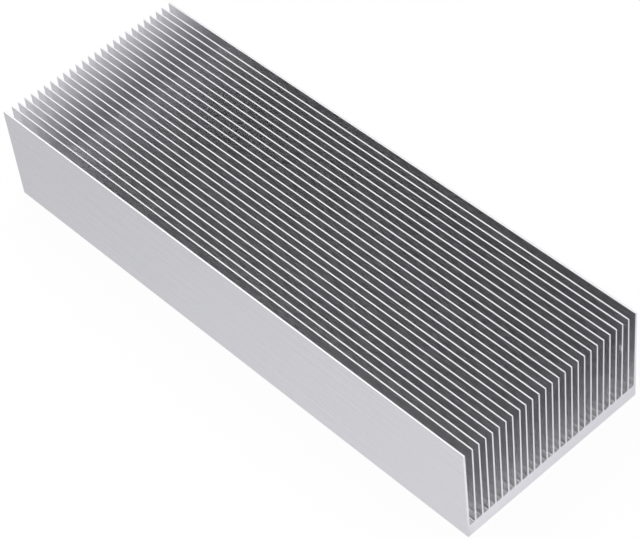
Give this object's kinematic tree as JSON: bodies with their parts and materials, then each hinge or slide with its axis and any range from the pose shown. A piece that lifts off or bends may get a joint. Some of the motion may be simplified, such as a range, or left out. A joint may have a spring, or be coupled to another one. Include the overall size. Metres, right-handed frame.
{
  "type": "heat sink",
  "caption": "Extruded aluminium heat sink: flat base plate with straight parallel fins along its whole length, open at both sawn ends.",
  "frame": {"origin": "middle of the base's underside", "axes": "+X along the fins, +Y across them, +Z from the underside up to the fin tips"},
  "size_m": [0.2, 0.069, 0.036],
  "materials": {
    "aluminium": "mill-finish extruded aluminium with fine die lines along the fins and sawn ends"
  },
  "bodies": {
    "root": {"heat_sink": "aluminium"}
  },
  "joints": []
}
